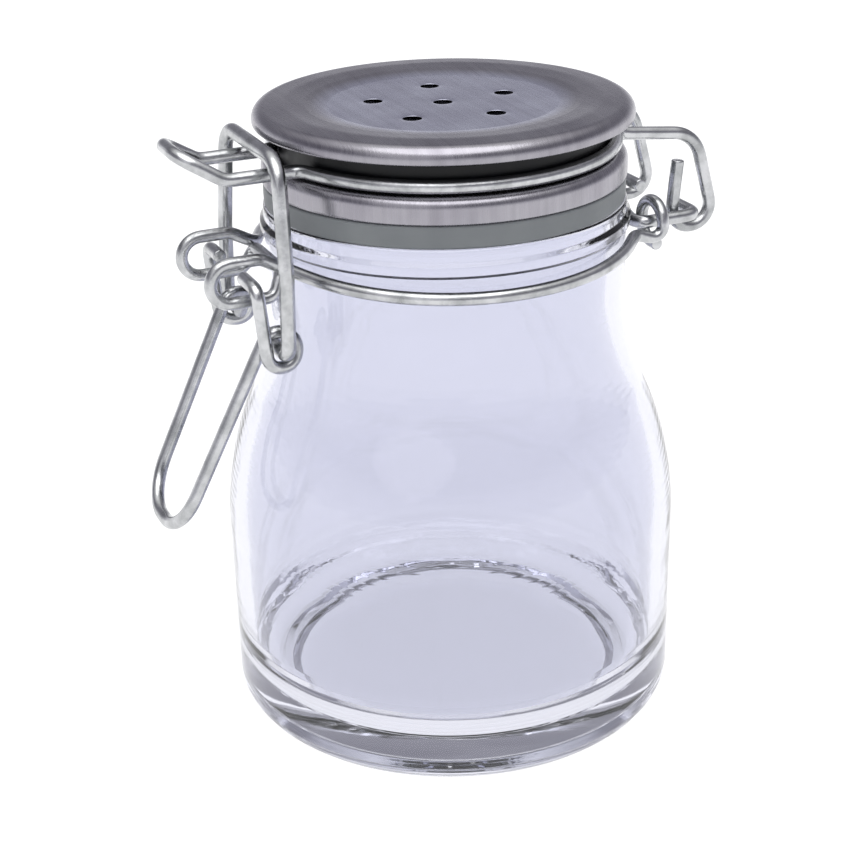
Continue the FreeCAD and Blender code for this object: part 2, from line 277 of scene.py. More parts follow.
def place(piece, node, body, material):
    piece.data.materials.append(material)
    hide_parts(node)
    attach(piece, body)
    lo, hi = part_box(node)
    co = np.zeros(len(piece.data.vertices) * 3)
    piece.data.vertices.foreach_get("co", co)
    co = co.reshape(-1, 3)
    apart = max(np.abs(co.min(0) - np.array(lo)).max(), np.abs(co.max(0) - np.array(hi)).max())
    print(piece.name, len(piece.data.polygons), "faces, box within", round(apart * 1000, 3), "mm")


# materials

def hexLinear(code):
    # sRGB hex to linear light
    srgb = np.array([int(code[i:i + 2], 16) for i in (1, 3, 5)]) / 255
    linear = np.where(srgb <= 0.04045, srgb / 12.92, ((srgb + 0.055) / 1.055) ** 2.4)
    return (*linear.tolist(), 1.0)


def addNode(tree, kind, settings=None, links=None, stops=None):
    # one node with its settings; links maps an input to the socket that feeds it,
    # and stops are the places and colours of a colour ramp
    node = tree.nodes.new(kind)
    for key, value in (settings or {}).items():
        if isinstance(key, str) and hasattr(node, key):
            setattr(node, key, value)
        else:
            node.inputs[key].default_value = value
    for key, socket in (links or {}).items():
        tree.links.new(socket, node.inputs[key])
    for i, (where, colour) in enumerate(stops or []):
        elements = node.color_ramp.elements
        element = elements[i] if i < len(elements) else elements.new(where)
        element.position = where
        element.color = hexLinear(colour)
    return node


def newMaterial(name):
    material = bpy.data.materials.new(name)
    material.use_nodes = True
    tree = material.node_tree
    tree.nodes.clear()
    shader = addNode(tree, "ShaderNodeBsdfPrincipled")
    addNode(tree, "ShaderNodeOutputMaterial", links={"Surface": shader.outputs["BSDF"]})
    return material, tree, shader


def makeGlass():
    # soda-lime glass, pressed in a mould and fire polished: clear with a faint cool cast,
    # and slow waves in the surface that bend what is seen through it
    material, tree, shader = newMaterial("sodaLimeGlassFirePolished")
    shader.inputs["Base Color"].default_value = hexLinear("#E2E3ED")
    shader.inputs["Roughness"].default_value = 0.02
    shader.inputs["IOR"].default_value = 1.52
    shader.inputs["Transmission Weight"].default_value = 1.0
    where = addNode(tree, "ShaderNodeTexCoord").outputs["Object"]
    # waves 9 to 14 mm apart, and an orange peel of 2.4 mm
    drawn = addNode(tree, "ShaderNodeMapping", {"Scale": (70, 70, 110)}, {"Vector": where})
    waves = addNode(tree, "ShaderNodeTexNoise", {"Scale": 1.0, "Detail": 2.0},
                    {"Vector": drawn.outputs[0]})
    peel = addNode(tree, "ShaderNodeTexNoise", {"Scale": 420.0, "Detail": 2.0}, {"Vector": where})
    waved = addNode(tree, "ShaderNodeBump", {"Distance": 0.00012, "Strength": 0.3},
                    {"Height": waves.outputs[0]})
    peeled = addNode(tree, "ShaderNodeBump", {"Distance": 0.00001, "Strength": 0.2},
                     {"Height": peel.outputs[0], "Normal": waved.outputs[0]})
    tree.links.new(peeled.outputs[0], shader.inputs["Normal"])
    return material


# bounds of the painted reflection on the sunk middle and of the painted shade in the holes and under
# the middle
sheetLook = {"slopeR": 18.8, "sunkR": 16.2, "punchTop": 92.24, "punchLow": 92.16,
             "middleOuter": 14.6, "middleInner": 14.4}   # mm, on the cap


def makeSheetSteel():
    # stainless sheet, belt brushed before it was pressed: soft grey with straight fine lines,
    # spread highlights and slight smears from handling
    material, tree, shader = newMaterial("brushedStainlessSheet")
    shader.inputs["Metallic"].default_value = 1.0
    where = addNode(tree, "ShaderNodeTexCoord").outputs["Object"]
    # belt grit leaves lines 0.05 mm apart; drawn at 0.25 mm so that they show
    fine = addNode(tree, "ShaderNodeMapping", {"Scale": (45, 4000, 45)}, {"Vector": where})
    lines = addNode(tree, "ShaderNodeTexNoise", {"Scale": 1.0, "Detail": 4.0, "Roughness": 0.6},
                    {"Vector": fine.outputs[0]})
    broad = addNode(tree, "ShaderNodeMapping", {"Scale": (25, 900, 25)}, {"Vector": where})
    bands = addNode(tree, "ShaderNodeTexNoise", {"Scale": 1.0, "Detail": 3.0},
                    {"Vector": broad.outputs[0]})
    # smears 9 mm across
    smears = addNode(tree, "ShaderNodeTexNoise", {"Scale": 110.0, "Detail": 4.0},
                     {"Vector": where})
    tint = addNode(tree, "ShaderNodeValToRGB", links={"Fac": bands.outputs[0]},
                   stops=[(0.3, "#A19FA5"), (0.7, "#AEACB2")])
    cloud = addNode(tree, "ShaderNodeValToRGB", links={"Fac": smears.outputs[0]},
                    stops=[(0.28, "#DFDDE2"), (0.7, "#FFFFFF")])
    smeared = addNode(tree, "ShaderNodeMix", {"data_type": "RGBA", "blend_type": "MULTIPLY",
                                              "Factor": 1.0},
                      {6: tint.outputs[0], 7: cloud.outputs[0]})
    # the sunk middle is painted lighter and bluer, a painted reflection; below its face the hole walls
    # and the underside are painted near black, a painted shade
    split = addNode(tree, "ShaderNodeSeparateXYZ", links={"Vector": where})
    level = addNode(tree, "ShaderNodeCombineXYZ", links={"X": split.outputs["X"],
                                                         "Y": split.outputs["Y"]})
    radius = addNode(tree, "ShaderNodeVectorMath", {"operation": "LENGTH"},
                     {0: level.outputs["Vector"]}).outputs["Value"]
    sunk = addNode(tree, "ShaderNodeMapRange", {"From Min": sheetLook["slopeR"] * mm,
                                                "From Max": sheetLook["sunkR"] * mm},
                   {"Value": radius})
    deep = addNode(tree, "ShaderNodeMapRange", {"From Min": sheetLook["punchTop"] * mm,
                                                "From Max": sheetLook["punchLow"] * mm},
                   {"Value": split.outputs["Z"]})
    middle = addNode(tree, "ShaderNodeMapRange", {"From Min": sheetLook["middleOuter"] * mm,
                                                  "From Max": sheetLook["middleInner"] * mm},
                     {"Value": radius})
    # painted shade mask: below the sunk face and inside the middle radius, which covers the hole walls
    # and the underside
    wall = addNode(tree, "ShaderNodeMath", {"operation": "MULTIPLY"},
                   {0: deep.outputs[0], 1: middle.outputs[0]})
    # painted reflection: the sunk middle's colour is made about twice as light and a little bluer
    paintedSunkReflection = addNode(tree, "ShaderNodeMix", {"data_type": "RGBA", "blend_type": "MULTIPLY",
                                               7: (1.85, 1.95, 2.1, 1.0)},
                       {"Factor": sunk.outputs[0], 6: smeared.outputs[2]})
    # painted shade: near black where that mask is one
    paintedHoleShade = addNode(tree, "ShaderNodeMix", {"data_type": "RGBA", 7: hexLinear("#16161A")},
                      {"Factor": wall.outputs[0], 6: paintedSunkReflection.outputs[2]})
    tree.links.new(paintedHoleShade.outputs[2], shader.inputs["Base Color"])
    rough = addNode(tree, "ShaderNodeMapRange", {"To Min": 0.18, "To Max": 0.36},
                    {"Value": lines.outputs[0]})
    tree.links.new(rough.outputs[0], shader.inputs["Roughness"])
    scored = addNode(tree, "ShaderNodeBump", {"Distance": 0.00002, "Strength": 0.6},
                     {"Height": lines.outputs[0]})
    banded = addNode(tree, "ShaderNodeBump", {"Distance": 0.00002, "Strength": 0.3},
                     {"Height": bands.outputs[0], "Normal": scored.outputs[0]})
    tree.links.new(banded.outputs[0], shader.inputs["Normal"])
    return material


def makeWireSteel():
    # low carbon steel wire, drawn through a die and bright zinc plated: mirror-like along
    # its crest, with fine lines along its length and duller spots where tools gripped it
    material, tree, shader = newMaterial("brightDrawnSteelWire")
    shader.inputs["Metallic"].default_value = 1.0
    wire = addNode(tree, "ShaderNodeUVMap", {"uv_map": "wireMap"}).outputs["UV"]
    where = addNode(tree, "ShaderNodeTexCoord").outputs["Object"]
    # die lines are about 0.03 mm apart; drawn at 0.2 mm across and 12 mm long
    drawn = addNode(tree, "ShaderNodeMapping", {"Scale": (5.0, 0.08, 1)}, {"Vector": wire})
    lines = addNode(tree, "ShaderNodeTexNoise", {"Scale": 1.0, "Detail": 3.0, "Roughness": 0.6},
                    {"Vector": drawn.outputs[0]})
    # dull patches of 4 mm and nicks of 0.7 mm
    dull = addNode(tree, "ShaderNodeTexNoise", {"Scale": 260.0, "Detail": 4.0, "Roughness": 0.6},
                   {"Vector": where})
    nicks = addNode(tree, "ShaderNodeTexNoise", {"Scale": 1500.0, "Detail": 2.0},
                    {"Vector": where})
    tint = addNode(tree, "ShaderNodeValToRGB", links={"Fac": dull.outputs[0]},
                   stops=[(0.3, "#9FA1A2"), (0.62, "#CBCCCE")])
    tree.links.new(tint.outputs[0], shader.inputs["Base Color"])
    rough = addNode(tree, "ShaderNodeMapRange", {"To Min": 0.34, "To Max": 0.14},
                    {"Value": dull.outputs[0]})
    tree.links.new(rough.outputs[0], shader.inputs["Roughness"])
    scored = addNode(tree, "ShaderNodeBump", {"Distance": 0.00004, "Strength": 0.5},
                     {"Height": lines.outputs[0]})
    nicked = addNode(tree, "ShaderNodeBump", {"Distance": 0.00004, "Strength": 0.35},
                     {"Height": nicks.outputs[0], "Normal": scored.outputs[0]})
    tree.links.new(nicked.outputs[0], shader.inputs["Normal"])
    return material


def makeCorePlastic():
    # polypropylene, injection moulded in a spark-eroded tool: near black with a soft sheen
    material, tree, shader = newMaterial("blackPolypropyleneMoulded")
    shader.inputs["IOR"].default_value = 1.49
    shader.inputs["Specular IOR Level"].default_value = 0.3
    where = addNode(tree, "ShaderNodeTexCoord").outputs["Object"]
    # spark grain of 0.3 mm, and dust in specks of 1.4 mm
    grain = addNode(tree, "ShaderNodeTexNoise", {"Scale": 3300.0, "Detail": 2.0},
                    {"Vector": where})
    dust = addNode(tree, "ShaderNodeTexNoise", {"Scale": 700.0, "Detail": 4.0,
                                                "Roughness": 0.65}, {"Vector": where})
    tint = addNode(tree, "ShaderNodeValToRGB", links={"Fac": dust.outputs[0]},
                   stops=[(0.45, "#040508"), (0.8, "#101218")])
    tree.links.new(tint.outputs[0], shader.inputs["Base Color"])
    rough = addNode(tree, "ShaderNodeMapRange", {"To Min": 0.28, "To Max": 0.5},
                    {"Value": dust.outputs[0]})
    tree.links.new(rough.outputs[0], shader.inputs["Roughness"])
    grained = addNode(tree, "ShaderNodeBump", {"Distance": 0.00003, "Strength": 0.4},
                      {"Height": grain.outputs[0]})
    tree.links.new(grained.outputs[0], shader.inputs["Normal"])
    return material


def makeGasketRubber():
    # translucent silicone, compression moulded: milky grey-green, waxy sheen, light inside
    material, tree, shader = newMaterial("translucentSiliconeRubber")
    shader.inputs["IOR"].default_value = 1.41
    shader.inputs["Subsurface Weight"].default_value = 0.35
    shader.inputs["Subsurface Radius"].default_value = (1.0, 1.0, 1.0)
    shader.inputs["Subsurface Scale"].default_value = 0.0015
    where = addNode(tree, "ShaderNodeTexCoord").outputs["Object"]
    # clouds of 6 mm, and a bloom on the skin of 0.6 mm
    cloud = addNode(tree, "ShaderNodeTexNoise", {"Scale": 160.0, "Detail": 3.0},
                    {"Vector": where})
    bloom = addNode(tree, "ShaderNodeTexNoise", {"Scale": 1700.0, "Detail": 3.0},
                    {"Vector": where})
    tint = addNode(tree, "ShaderNodeValToRGB", links={"Fac": cloud.outputs[0]},
                   stops=[(0.3, "#717578"), (0.7, "#7A7E80")])
    tree.links.new(tint.outputs[0], shader.inputs["Base Color"])
    rough = addNode(tree, "ShaderNodeMapRange", {"To Min": 0.36, "To Max": 0.58},
                    {"Value": bloom.outputs[0]})
    tree.links.new(rough.outputs[0], shader.inputs["Roughness"])
    bloomed = addNode(tree, "ShaderNodeBump", {"Distance": 0.00003, "Strength": 0.35},
                      {"Height": bloom.outputs[0]})
    tree.links.new(bloomed.outputs[0], shader.inputs["Normal"])
    return material


glass = makeGlass()
sheetSteel = makeSheetSteel()
wireSteel = makeWireSteel()
corePlastic = makeCorePlastic()
gasketRubber = makeGasketRubber()
print("materials made")


# glass jar

jar = {
    "bodyR": 34.0, "wallTop": 29.3, "neckR": 26.2, "neckZ": 65.0, "rim": 78.9,
    "wall": 2.6, "floor": 4.6, "floorRise": 0.4, "floorBend": 9.0, "heel": 4.0,
    "punt": 1.0, "puntWidth": 9.0, "puntBend": 2.0, "footWidth": 7.0, "footBend": 0.9,
    "share": 0.57, "neckBore": 23.4, "lip": 0.5,
    "beadTop": 77.15, "beadLow": 74.85, "bead": 0.55, "beadRoot": 0.25, "beadBend": 0.3,
    "columns": 184, "wave": 0.02, "innerWave": 0.07,
    "seam": 0.04, "seamAngle": 1.15, "seamWidth": 0.35,
}


def shoulderCorners(r0, z0, r1, z1):
    # the two tangent arcs of the shoulder, as the corners of the line they touch
    share = jar["share"]
    corners = []
    for h, v, r, z, way in ((abs(r1 - r0) * share, (z1 - z0) * share, r0, z0, 1),
                            (abs(r1 - r0) * (1 - share), (z1 - z0) * (1 - share), r1, z1, -1)):
        radius = (h * h + v * v) / (2 * h)
        turn = math.asin(v / radius)
        corners.append((r, z + way * radius * math.tan(turn / 2), radius * 0.998))
    return corners


def jarOutline():
    bodyR, neckR, rim = jar["bodyR"], jar["neckR"], jar["rim"]
    bore, inner = jar["neckBore"], jar["bodyR"] - jar["wall"]
    beadR, cut = neckR + jar["bead"], jar["bead"]
    outer = [(0, jar["punt"], 0), (bodyR - jar["puntWidth"], jar["punt"], jar["puntBend"]),
             (bodyR - jar["footWidth"], 0, jar["footBend"]), (bodyR, 0, jar["heel"])]
    outer += shoulderCorners(bodyR, jar["wallTop"], neckR, jar["neckZ"])
    outer += [(neckR, jar["beadLow"], jar["beadRoot"]), (beadR, jar["beadLow"] + cut, jar["beadBend"]),
              (beadR, jar["beadTop"] - cut, jar["beadBend"]), (neckR, jar["beadTop"], jar["beadRoot"]),
              (neckR, rim, jar["lip"]), (bore, rim, jar["lip"])]
    inside = list(reversed(shoulderCorners(inner, jar["wallTop"], bore, jar["neckZ"])))
    inside += [(inner, jar["floor"], jar["floorBend"]), (0, jar["floor"] + jar["floorRise"], 0)]
    return roundedOutline(outer + inside, False, 8, 1.1)


def jarShift(u, r, z):
    # slow waves that fade out towards the base and neck, deeper on the inner wall,
    # and a low ridge on two opposite sides where the mould halves met
    inner = (r < jar["bodyR"]) & (z > jar["floor"] - 0.2) & (r < jarMidWall(z))
    fade = np.clip((z - 7) / 8, 0, 1) * np.clip((64 - z) / 10, 0, 1)
    slow = np.sin(2 * u + 0.6 + z / 19) * np.cos(z / 8.5) + 0.6 * np.sin(3 * u - z / 14 + 2.1)
    waves = np.where(inner, jar["innerWave"], jar["wave"]) * slow * fade
    fromSeam = np.abs(np.angle(np.exp(1j * (u - jar["seamAngle"]))))
    away = np.minimum(fromSeam, np.pi - fromSeam) * r
    seamFade = np.clip((z - 3) / 2, 0, 1) * np.clip((66 - z) / 3, 0, 1)
    ridge = jar["seam"] * np.exp(-(away / jar["seamWidth"]) ** 2) * seamFade
    return waves + np.where(inner, 0, ridge)


def jarMidWall(z):
    # a radius about half-way through the wall at each height, to tell its two faces apart
    t = np.clip((z - jar["wallTop"]) / (jar["neckZ"] - jar["wallTop"]), 0, 1)
    s = t * t * (3 - 2 * t)
    return (jar["bodyR"] - 1.3) * (1 - s) + (jar["neckR"] - 1.4) * s


place(lathePiece("glassJar", jarOutline(), jar["columns"], jarShift, poles=True),
      "glass_jar", "jar", glass)
print("glass jar made")


# lid: gasket, ring, core, cap

gasket = {"outer": 26.05, "bore": 21.4, "low": 78.9, "top": 82.1, "edge": 0.4, "line": 0.05}
partingZ = (gasket["low"] + gasket["top"]) / 2
gasketOutline = roundedOutline([
    (gasket["bore"], gasket["low"], 0.2), (gasket["outer"], gasket["low"], gasket["edge"]),
    (gasket["outer"], gasket["top"], gasket["edge"]), (gasket["bore"], gasket["top"], 0.2)],
    True, 7, 0.35)


def gasketShift(u, r, z):
    # the mould's parting line stands out at mid height, and the edge breathes a little
    line = gasket["line"] * np.exp(-((z - partingZ) / 0.12) ** 2)
    breath = 0.03 * np.sin(5 * u + 0.4) + 0.02 * np.sin(9 * u + 1.3)
    return np.where(r > gasket["outer"] - 1, line + breath - gasket["line"], 0)


place(lathePiece("gasketRing", gasketOutline, 192, gasketShift),
      "gasket", "lid", gasketRubber)

ring = {"low": 82.1, "top": 85.8, "outer": 26.15, "bend": 1.5, "sheet": 0.6,
        "bore": 23.52, "spigot": 21.4}
ringOutline = roundedOutline([
    (ring["spigot"], ring["low"], 0.12), (ring["outer"], ring["low"], 0.5),
    (ring["outer"], ring["top"], ring["bend"]), (ring["bore"], ring["top"], 0.15),
    (ring["bore"], ring["top"] - ring["sheet"], 0.15),
    (ring["outer"] - ring["sheet"], ring["top"] - ring["sheet"], ring["bend"] - ring["sheet"]),
    (ring["outer"] - ring["sheet"], ring["low"] + ring["sheet"], 0.3),
    (ring["spigot"], ring["low"] + ring["sheet"], 0.12)], True, 9, 0.6)
place(lathePiece("lidRing", ringOutline, 224), "lid_ring", "lid", sheetSteel)

core = {"r": 23.5, "bore": 20.4, "spigot": 21.38, "skirt": 20.43, "low": 79.2, "floor": 82.7,
        "flange": 25.6, "capUnder": 90.4, "under": 92.15}
coreOutline = roundedOutline([
    (core["skirt"], core["low"], 0.15), (core["spigot"], core["low"], 0.25),
    (core["spigot"], core["floor"], 0.05), (core["r"], core["floor"], 0.2),
    (core["r"], core["capUnder"] - 0.8, 0.5), (core["flange"], core["capUnder"] + 0.1, 0.25),
    (core["flange"], core["under"] - 0.3, 0.1), (core["flange"] - 0.6, core["under"], 0.1),
    (core["bore"], core["under"], 0.2), (core["bore"], core["floor"] + 2.0, 0.3),
    (core["skirt"], core["floor"] + 1.0, 0.3)], True, 5, 0.8)
place(lathePiece("lidCore", coreOutline, 192), "lid_core", "lid", corePlastic)

cap = {
    "top": 92.9, "under": 90.4, "rimR": 27.1, "edge": 1.75, "curl": 0.4, "sheet": 0.6,
    "recessR": 16.4, "slope": 3.2, "depth": 0.45, "rise": 0.15, "discR": 15.2,
    "holeR": 1.35, "circle": 10.0, "count": 5, "phase": -121.0, "roll": 0.10, "dish": 0.05,
    "lip": 1.4, "lipRise": 0.45, "columns": 240, "grid": 0.75,
}


def capPiece():
    # the rim, slope and curl are one outline turned about Z; the sunk middle is a sheet
    # z = f(x, y) with six holes, each with an edge rolled down by the punch
    top, sheet, discR = cap["top"], cap["sheet"], cap["discR"]
    ringZ = top - cap["rise"]
    flatZ = ringZ - cap["depth"]
    slopeR = cap["recessR"] + cap["slope"]
    rimR, edge = cap["rimR"], cap["edge"]
    crown = (slopeR + rimR - edge) / 2
    lipR, lipZ = rimR - cap["lip"], cap["under"] + cap["lipRise"]
    upper = [(discR, flatZ, 0), (cap["recessR"], flatZ, 2.2), (slopeR, ringZ, 3.0),
             (crown, top + 0.02, 12.0), (rimR, ringZ, edge),
             (rimR, cap["under"], cap["curl"]), (lipR, cap["under"], 0.22),
             (lipR, lipZ, 0.15), (rimR - sheet, lipZ, 0.1),
             (rimR - sheet, ringZ - sheet, edge - sheet), (crown, top - sheet, 12.0),
             (slopeR + 0.15, ringZ - sheet, 2.4), (cap["recessR"] + 0.15, flatZ - sheet, 2.8),
             (discR, flatZ - sheet, 0)]
    outline = roundedOutline(upper, False, 9, 0.7)
    n = cap["columns"]
    u = np.linspace(0, 2 * np.pi, n, endpoint=False)[None, :]
    rim = np.stack([outline[:, :1] * np.cos(u), outline[:, :1] * np.sin(u),
                    outline[:, 1:] + 0 * u], -1).reshape(-1, 3)
    rimFaces = gridFaces(len(outline), n, False)
    phase = np.radians(cap["phase"] + 360 * np.arange(cap["count"]) / cap["count"])
    holes = np.concatenate([[[0, 0]], cap["circle"] * np.stack([np.cos(phase), np.sin(phase)], -1)])
    ringN = 48
    v = np.linspace(0, 2 * np.pi, ringN, endpoint=False)
    circle = np.stack([np.cos(v), np.sin(v)], -1)
    openR = cap["holeR"] + cap["roll"]
    points = [discR * np.concatenate([np.cos(u), np.sin(u)]).T]
    edges = np.stack([np.arange(n), np.roll(np.arange(n), -1)], -1)
    allEdges = [edges]
    start = n
    for c in holes:
        points.append(c + openR * circle)
        loop = np.arange(ringN) + start
        allEdges.append(np.stack([loop, np.roll(loop, -1)], -1))
        start += ringN
    for c in holes:
        for grow in (0.2, 0.5, 0.95):
            points.append(c + (openR + grow) * circle)
    g = cap["grid"]
    gx, gy = np.meshgrid(np.arange(-16, 16, g), np.arange(-16, 16, g * 0.866))
    gx = gx + (np.arange(gx.shape[0])[:, None] % 2) * g / 2
    loose = np.stack([gx.ravel(), gy.ravel()], -1)
    far = np.linalg.norm(loose[:, None] - holes[None], axis=-1).min(1) > openR + 1.35
    loose = loose[far & (np.linalg.norm(loose, axis=1) < discR - 0.35)]
    points.append(loose)
    flat = np.concatenate(points)
    made = delaunay_2d_cdt([Vector(p) for p in flat.tolist()],
                           [tuple(e) for e in np.concatenate(allEdges).tolist()], [], 0, 1e-7)
    flat = np.array([tuple(p) for p in made[0]])
    tris = np.array(made[2])
    # a triangle with all its corners on a hole's edge fills the hole
    d = np.linalg.norm(flat[:, None] - holes[None], axis=-1).min(1) - openR
    tris = tris[d[tris].max(1) > 0.01]
    dip = -cap["dish"] * np.exp(-np.maximum(d, 0) / 0.35)
    a, b, c = flat[tris[:, 0]], flat[tris[:, 1]], flat[tris[:, 2]]
    area = (b - a)[:, 0] * (c - a)[:, 1] - (b - a)[:, 1] * (c - a)[:, 0]
    tris[area < 0] = tris[area < 0][:, ::-1]
    topDisc = np.column_stack([flat, flatZ + dip])
    lowDisc = np.column_stack([flat, flatZ - sheet + dip])
    verts = [rim, topDisc, lowDisc]
    faces = [*rimFaces.tolist()]
    base = len(rim)
    faces += (tris + base).tolist()
    faces += (tris[:, ::-1] + base + len(flat)).tolist()
    base += 2 * len(flat)
    turn = np.radians(np.linspace(0, 90, 6))
    wallR = np.concatenate([cap["holeR"] + cap["roll"] * (1 - np.sin(turn)),
                            [cap["holeR"], cap["holeR"] + 0.06, openR]])
    wallZ = np.concatenate([-cap["roll"] * (1 - np.cos(turn)), [-sheet - 0.08, -sheet - 0.1, -sheet]])
    for c in holes:
        tube = np.concatenate([c + wallR[:, None, None] * circle[None],
                               np.broadcast_to((flatZ - cap["dish"] + wallZ)[:, None, None],
                                               (len(wallR), ringN, 1))], -1).reshape(-1, 3)
        verts.append(tube)
        faces += (gridFaces(len(wallR), ringN, False) + base).tolist()
        base += len(tube)
    piece = newPiece("lidCap", np.concatenate(verts), faces)
    bm = bmesh.new()
    bm.from_mesh(piece.data)
    bmesh.ops.remove_doubles(bm, verts=bm.verts, dist=2e-6)
    bmesh.ops.recalc_face_normals(bm, faces=bm.faces)
    openEdges = sum(not e.is_manifold for e in bm.edges)
    bm.to_mesh(piece.data)
    bm.free()
    print("lid cap open edges:", openEdges)
    return piece


place(capPiece(), "lid_cap", "lid", sheetSteel)
print("lid made")


# wires

common = {"sides": 28, "step": 0.4, "easing": 0.3, "squeeze": 0.045}
neckR = jar["neckR"]
hingeY, hingeZ = 35.5, 73.8


def sideArc(w, z):
    # the arc round the neck, from the rear strand to the front strand
    return ringCorners(w["ringR"], z, 90 - w["rearDeg"], -(180 - w["rearDeg"] - w["frontDeg"]), 2)


lidWire = dict(common, diameter=1.9, z=86.966, ringR=24.47, rearDeg=28.0, frontDeg=20.0,
               hookX=9.2, hookInner=3.3, hookOuter=4.3, hookBelow=2.4, hookBend=3.0,
               rodTop=7.9, rodLean=1.05, legTop=11.6, legLean=3.8, legBend=5.2, rearBend=2.8,
               noseX=6.0, noseY=-34.5, rootBend=2.4, noseBend=3.0,
               tipX=4.4, tipRun=5.7, tipRise=3.55, tipBend=3.2)
w = lidWire
x, z = w["hookX"], w["z"]
inner, outer, low = hingeY - w["hookInner"], hingeY + w["hookOuter"], hingeZ - w["hookBelow"]
half = [
    (x, inner + w["rodLean"], hingeZ + w["rodTop"], 0),
    (x, inner, low, w["hookBend"]),
    (x, outer, low, w["hookBend"]),
    (x, outer - w["legLean"], hingeZ + w["legTop"], w["legBend"]),
    (x, leaveRing(w["ringR"], w["rearDeg"], x), z, w["rearBend"])]
half += sideArc(w, z)
half += [
    (w["noseX"], -leaveRing(w["ringR"], w["frontDeg"], w["noseX"]), z, w["rootBend"]),
    (w["noseX"], w["noseY"], z, w["noseBend"]),
    (w["tipX"], w["noseY"] - w["tipRun"], z + w["tipRise"], w["tipBend"])]
lidWire["corners"] = bothSides(half)

neckWire = dict(common, diameter=1.8, z=73.3, ringR=27.16, sag=0.9, rearDeg=40.0, frontDeg=24.0,
                barX=11.4, loopR=3.1, loopY=27.95, endPast=1.6, strandDrop=1.9, strandBend=1.6,
                rearBend=2.4, rootRise=0.3, rootBend=2.2, eyeX=6.7, eyeReach=11.6, eyeRise=2.35,
                eyeOpen=5.7, upperReach=4.3, upperBend=2.4, lowerReach=2.6, lowerBend=1.6,
                crossIn=0.9, crossGap=0.1, crossBend=1.5)
w = neckWire
x, z, loopR, loopY, eyeX = w["barX"], w["z"], w["loopR"], w["loopY"], w["eyeX"]
eyeEnd, eyeTop, eyeBend = -(neckR + w["eyeReach"]), z + w["eyeRise"], w["eyeOpen"] / 2
eyeLow = eyeTop - w["eyeOpen"]
half = [
    (x + w["endPast"], loopY, hingeZ - loopR, 0),
    (x - loopR, loopY, hingeZ - loopR, loopR),
    (x - loopR, loopY, hingeZ + loopR, loopR),
    (x + loopR, loopY, hingeZ + loopR, loopR),
    (x + loopR, loopY, hingeZ - w["strandDrop"], w["strandBend"]),
    (x + loopR, leaveRing(w["ringR"], w["rearDeg"], x + loopR), z, w["rearBend"])]
half += sideArc(w, z - w["sag"])
half += [
    (eyeX, -leaveRing(w["ringR"], w["frontDeg"], eyeX), z + w["rootRise"], w["rootBend"]),
    (eyeX, -(neckR + w["upperReach"]), eyeTop, w["upperBend"]),
    (eyeX, eyeEnd, eyeTop, eyeBend),
    (eyeX, eyeEnd, eyeLow, eyeBend),
    (eyeX, -(neckR + w["lowerReach"]), eyeLow, w["lowerBend"]),
    (eyeX - w["crossIn"], -(w["ringR"] + w["crossGap"]), z, w["crossBend"])]
neckWire["corners"] = bothSides(half)

hingeWire = dict(common, diameter=1.9, ringR=27.17, pinX=5.0, barX=11.4, bend=1.8, deg=14.0)
w = hingeWire
half = [
    (w["pinX"], hingeY, hingeZ, 0),
    (w["barX"], hingeY, hingeZ, w["bend"]),
    (w["barX"], leaveRing(w["ringR"], w["deg"], w["barX"]), hingeZ, w["bend"])]
back = ringCorners(w["ringR"], hingeZ, 90 - w["deg"], 2 * w["deg"], 1)
hingeWire["corners"] = half + back + bothSides(half)[len(half):]

linkWire = dict(common, diameter=2.1, pinY=-29.4, pinZ=63.4, endX=7.35, legX=13.25, topX=11.0,
                barY=-28.7, barZ=89.966, straight=11.6, footBend=1.7, kneeBend=6.0, topBend=4.3)
w = linkWire
kneeY = w["pinY"] + (w["barY"] - w["pinY"]) * w["straight"] / (w["barZ"] - w["pinZ"])
half = [
    (w["endX"], w["pinY"], w["pinZ"], 0),
    (w["legX"], w["pinY"], w["pinZ"], w["footBend"]),
    (w["legX"], kneeY, w["pinZ"] + w["straight"], w["kneeBend"]),
    (w["topX"], w["barY"], w["barZ"], w["topBend"])]
linkWire["corners"] = bothSides(half)

leverWire = dict(common, diameter=1.9, pivotY=-32.6, pivotZ=72.8, pinY=-29.4, pinZ=63.4,
                 stubX=5.1, armX=10.95, armBend=1.6, handleX=8.85, coilR=2.35, coilShare=0.96,
                 tipX=7.4, tipY=-45.3, tipZ=36.9, tipBend=6.8)
w = leverWire


def coilCorners(w):
    # a turn about the link's pin that starts where the arm touches it and ends where the
    # handle leaves it, moving from the arm's plane to the handle's
    y, z, r = w["pinY"], w["pinZ"], w["coilR"]
    armY, armZ = y - w["pivotY"], w["pivotZ"] - z
    armDir = -math.atan2(armZ, armY) - math.asin(r / math.hypot(armY, armZ))
    dy, dz = w["tipY"] - y, w["tipZ"] - z
    handleDir = math.atan2(dz, dy) + math.asin(r / math.hypot(dy, dz))
    start, end = math.degrees(armDir) - 90, math.degrees(handleDir) - 90
    flat = ringCorners(r, 0, start, (end - start) % 360, 4)
    xs = np.linspace(w["armX"], w["handleX"], 4)
    return [(x, y + p[0], z + p[1], p[3] * w["coilShare"]) for x, p in zip(xs, flat)]


half = [(w["stubX"], w["pivotY"], w["pivotZ"], 0),
        (w["armX"], w["pivotY"], w["pivotZ"], w["armBend"])]
half += coilCorners(w)
half += [(w["tipX"], w["tipY"], w["tipZ"], w["tipBend"])]
leverWire["corners"] = bothSides(half)

for name, node, body, settings in (
        ("lidWire", "lid_wire", "lid", lidWire), ("neckWire", "neck_wire", "jar", neckWire),
        ("hingeWire", "hinge_wire", "jar", hingeWire), ("linkWire", "link_wire", "link", linkWire),
        ("leverWire", "lever_wire", "lever", leverWire)):
    place(wirePiece(name, settings), node, body, wireSteel)
print("wires made")


# floor, light, camera

